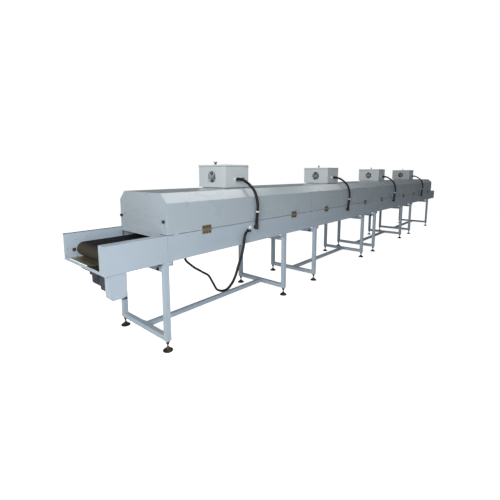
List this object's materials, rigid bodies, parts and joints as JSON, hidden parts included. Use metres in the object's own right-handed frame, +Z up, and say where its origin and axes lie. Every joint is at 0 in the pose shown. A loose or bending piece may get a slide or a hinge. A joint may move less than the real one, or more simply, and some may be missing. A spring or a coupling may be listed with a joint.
{
  "type": "infrared_conveyor_dryer",
  "caption": "Long infrared tunnel dryer with hinged hoods, fan boxes on top, a through belt, a chain drive and tube stands",
  "frame": {"origin": "On the floor, under the middle of the line", "axes": "+X along the line from the drive end to the outfeed, +Y across it away from the hinges, +Z up"},
  "size_m": [8.845, 0.765, 1.428],
  "materials": {
    "frame_paint": "satin",
    "hood_paint": "satin",
    "zinc_plate": "satin",
    "steel": "satin",
    "dark_steel": "satin",
    "cast_bearing": "matte",
    "brass": "satin",
    "motor_paint": "satin",
    "belt_rubber": "matte",
    "cord_rubber": "satin",
    "black_plastic": "matte",
    "fan_plastic": "matte",
    "lamp_reflector": "satin"
  },
  "bodies": {
    "frame": {"leg_frames_1": "frame_paint", "leg_frames_2": "frame_paint", "leg_frames_3": "frame_paint", "leg_frames_4": "frame_paint", "stretchers": "frame_paint", "levelling_feet": "dark_steel", "foot_lock_nuts": "dark_steel", "bed_1": "frame_paint", "bed_2": "frame_paint", "bed_3": "frame_paint", "bed_4": "frame_paint", "drive_housing": "frame_paint", "infeed_back_rail": "frame_paint", "motor_plate": "zinc_plate", "outfeed_rails": "frame_paint", "end_crossbars": "frame_paint", "chain_guard": "frame_paint", "gear_motor": "motor_paint", "gearbox": "motor_paint", "drive_chain": "dark_steel", "roller_bearings": "cast_bearing", "belt": "belt_rubber", "belt_supports": "steel", "hinge_bed_leaves": "brass", "bed_glands": "black_plastic", "supply_cable": "cord_rubber", "conduit_1": "cord_rubber", "conduit_2": "cord_rubber", "conduit_3": "cord_rubber", "conduit_4": "cord_rubber"},
    "hood_body_1": {"hood_1": "hood_paint", "hinge_hood_leaves_1": "brass", "lamp_bank_1": "lamp_reflector", "control_box_1": "hood_paint"},
    "hood_body_2": {"hood_2": "hood_paint", "hinge_hood_leaves_2": "brass", "lamp_bank_2": "lamp_reflector", "control_box_2": "hood_paint"},
    "hood_body_3": {"hood_3": "hood_paint", "hinge_hood_leaves_3": "brass", "lamp_bank_3": "lamp_reflector", "control_box_3": "hood_paint"},
    "hood_body_4": {"hood_4": "hood_paint", "hinge_hood_leaves_4": "brass", "lamp_bank_4": "lamp_reflector", "control_box_4": "hood_paint"},
    "fan_1": {"fan_rotor_1": "fan_plastic"},
    "fan_2": {"fan_rotor_2": "fan_plastic"},
    "fan_3": {"fan_rotor_3": "fan_plastic"},
    "fan_4": {"fan_rotor_4": "fan_plastic"},
    "drive_roller_body": {"drive_roller": "steel", "drive_sprocket": "steel"},
    "motor_sprocket_body": {"motor_sprocket": "steel"},
    "tail_roller_body": {"tail_roller": "steel"},
    "infeed_gate_body": {"infeed_gate": "hood_paint"},
    "outfeed_gate_body": {"outfeed_gate": "hood_paint"},
    "infeed_knob_front_body": {"infeed_knob_front": "black_plastic"},
    "infeed_knob_back_body": {"infeed_knob_back": "black_plastic"},
    "outfeed_knob_front_body": {"outfeed_knob_front": "black_plastic"},
    "outfeed_knob_back_body": {"outfeed_knob_back": "black_plastic"}
  },
  "joints": [
    {"name": "hood_1_hinge", "type": "hinge", "parent": "frame", "child": "hood_body_1", "pos_m": [-2.9625, -0.3413, 0.874], "axis": [1, 0, 0], "range_deg": [0, 65], "deforming": ["conduit_1"]},
    {"name": "hood_2_hinge", "type": "hinge", "parent": "frame", "child": "hood_body_2", "pos_m": [-0.9625, -0.3413, 0.874], "axis": [1, 0, 0], "range_deg": [0, 65], "deforming": ["conduit_2"]},
    {"name": "hood_3_hinge", "type": "hinge", "parent": "frame", "child": "hood_body_3", "pos_m": [1.0375, -0.3413, 0.874], "axis": [1, 0, 0], "range_deg": [0, 65], "deforming": ["conduit_3"]},
    {"name": "hood_4_hinge", "type": "hinge", "parent": "frame", "child": "hood_body_4", "pos_m": [3.0375, -0.3413, 0.874], "axis": [1, 0, 0], "range_deg": [0, 65], "deforming": ["conduit_4"]},
    {"name": "fan_1_spin", "type": "hinge", "parent": "hood_body_1", "child": "fan_1", "pos_m": [-3.1387, 0.08, 1.28497], "axis": [1, 0, 0], "continuous": true},
    {"name": "fan_2_spin", "type": "hinge", "parent": "hood_body_2", "child": "fan_2", "pos_m": [-1.1387, 0.08, 1.28497], "axis": [1, 0, 0], "continuous": true},
    {"name": "fan_3_spin", "type": "hinge", "parent": "hood_body_3", "child": "fan_3", "pos_m": [0.8613, 0.08, 1.28497], "axis": [1, 0, 0], "continuous": true},
    {"name": "fan_4_spin", "type": "hinge", "parent": "hood_body_4", "child": "fan_4", "pos_m": [2.8613, 0.08, 1.28497], "axis": [1, 0, 0], "continuous": true},
    {"name": "drive_roller_spin", "type": "hinge", "parent": "frame", "child": "drive_roller_body", "pos_m": [-4.2835, 0, 0.7425], "axis": [0, 1, 0], "continuous": true},
    {"name": "motor_sprocket_spin", "type": "hinge", "parent": "frame", "child": "motor_sprocket_body", "pos_m": [-4.3605, -0.307, 0.615], "axis": [0, 1, 0], "continuous": true},
    {"name": "tail_roller_spin", "type": "hinge", "parent": "frame", "child": "tail_roller_body", "pos_m": [4.2725, 0, 0.7425], "axis": [0, 1, 0], "continuous": true},
    {"name": "infeed_gate_slide", "type": "slide", "parent": "hood_body_1", "child": "infeed_gate_body", "axis": [0, 0, 1], "range_m": [0, 0.06]},
    {"name": "outfeed_gate_slide", "type": "slide", "parent": "hood_body_4", "child": "outfeed_gate_body", "axis": [0, 0, 1], "range_m": [0, 0.06]},
    {"name": "infeed_knob_front_turn", "type": "hinge", "parent": "hood_body_1", "child": "infeed_knob_front_body", "pos_m": [-3.9636, -0.303, 0.973], "axis": [1, 0, 0], "range_deg": [0, 360]},
    {"name": "infeed_knob_back_turn", "type": "hinge", "parent": "hood_body_1", "child": "infeed_knob_back_body", "pos_m": [-3.9636, 0.303, 0.973], "axis": [1, 0, 0], "range_deg": [0, 360]},
    {"name": "outfeed_knob_front_turn", "type": "hinge", "parent": "hood_body_4", "child": "outfeed_knob_front_body", "pos_m": [4.0386, -0.303, 0.973], "axis": [1, 0, 0], "range_deg": [0, 360]},
    {"name": "outfeed_knob_back_turn", "type": "hinge", "parent": "hood_body_4", "child": "outfeed_knob_back_body", "pos_m": [4.0386, 0.303, 0.973], "axis": [1, 0, 0], "range_deg": [0, 360]}
  ],
  "couplings": [
    {"joint": "motor_sprocket_spin", "follows": "drive_roller_spin", "ratio": 1.1818},
    {"joint": "tail_roller_spin", "follows": "drive_roller_spin", "ratio": 1}
  ]
}
